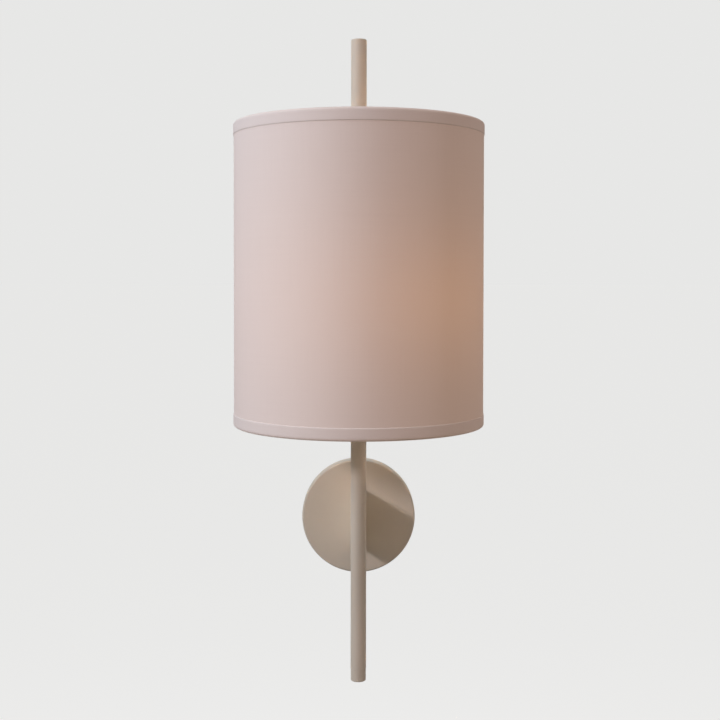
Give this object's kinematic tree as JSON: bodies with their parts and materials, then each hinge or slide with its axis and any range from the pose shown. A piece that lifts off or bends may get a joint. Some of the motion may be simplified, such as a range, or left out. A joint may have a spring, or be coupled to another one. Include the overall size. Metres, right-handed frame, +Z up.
{
  "type": "fabric shade wall light",
  "caption": "Wall light: a fabric drum shade carried on a long upright metal rod, held off a round wall canopy by a flat arm, with a lamp holder inside the shade.",
  "frame": {"origin": "in the wall plane, at the centre between the two wall box screws and of the canopy", "axes": "+X to the right seen from the room, +Y into the wall, +Z up along the rod"},
  "size_m": [0.254, 0.268, 0.6536],
  "materials": {
    "powder_coat": "matt powder coat",
    "zinc_steel": "zinc plated",
    "ground_metal": "green dyed zinc",
    "copper": "bare drawn wire",
    "bushing_plastic": "moulded nylon",
    "connector_plastic": "moulded",
    "lead_white": "extruded insulation",
    "lead_black": "extruded insulation",
    "holder_metal": "matt powder coat",
    "fibre": "pressed fibre",
    "phenolic": "moulded",
    "brass": "drawn",
    "bulb_metal": "rolled thread",
    "bulb_glass": "frosted",
    "stem_glass": "clear",
    "filament": "coated strips",
    "shade_cloth": "plain woven",
    "styrene": "laminated sheet",
    "white_wire": "white enamel"
  },
  "bodies": {
    "fixture": {"rod_tube": "powder_coat", "rod_end_cap": "powder_coat", "rod_top_plug": "powder_coat", "arm": "powder_coat", "canopy": "powder_coat", "canopy_screws": "powder_coat", "wall_bracket": "zinc_steel", "arm_screws": "zinc_steel", "arm_washers": "zinc_steel", "arm_anchor": "zinc_steel", "socket_nipple": "zinc_steel", "nipple_nut": "zinc_steel", "lamp_collar_screw": "zinc_steel", "stop_collar_screw": "zinc_steel", "terminal_screws": "zinc_steel", "ground_screw": "ground_metal", "ground_wire": "copper", "canopy_bushing": "bushing_plastic", "wire_connectors": "connector_plastic", "neutral_lead": "lead_white", "line_lead": "lead_black", "lamp_collar": "holder_metal", "lamp_arm": "holder_metal", "lamp_block": "holder_metal", "socket_cap": "holder_metal", "socket_shell": "holder_metal", "stop_collar": "holder_metal", "socket_sleeve": "fibre", "socket_base": "phenolic", "socket_screw_shell": "brass", "socket_contact": "brass"},
    "shade": {"shade_fabric": "shade_cloth", "shade_liner": "styrene", "top_hem": "shade_cloth", "bottom_hem": "shade_cloth", "top_ring": "white_wire", "bottom_ring": "white_wire", "spider_hub": "holder_metal", "spider_spokes": "white_wire"},
    "thumb_screw": {"thumb_screw": "holder_metal"},
    "bulb": {"bulb_glass": "bulb_glass", "bulb_cap": "bulb_metal", "bulb_insulator": "phenolic", "bulb_contact": "brass", "bulb_stem": "stem_glass", "bulb_filaments": "filament"}
  },
  "joints": [
    {"name": "shade_lift", "type": "slide", "parent": "fixture", "child": "shade", "axis": [0, 0, 1], "range_m": [0, 0.112]},
    {"name": "thumb_screw_turn", "type": "hinge", "parent": "shade", "child": "thumb_screw", "pos_m": [-0.012, -0.138, 0.4003], "axis": [-1, 0, 0], "range_deg": [0, 720]},
    {"name": "bulb_turn", "type": "hinge", "parent": "fixture", "child": "bulb", "pos_m": [0.03214, -0.1763, 0.25], "axis": [0, 0, 1], "range_deg": [0, 720]}
  ]
}
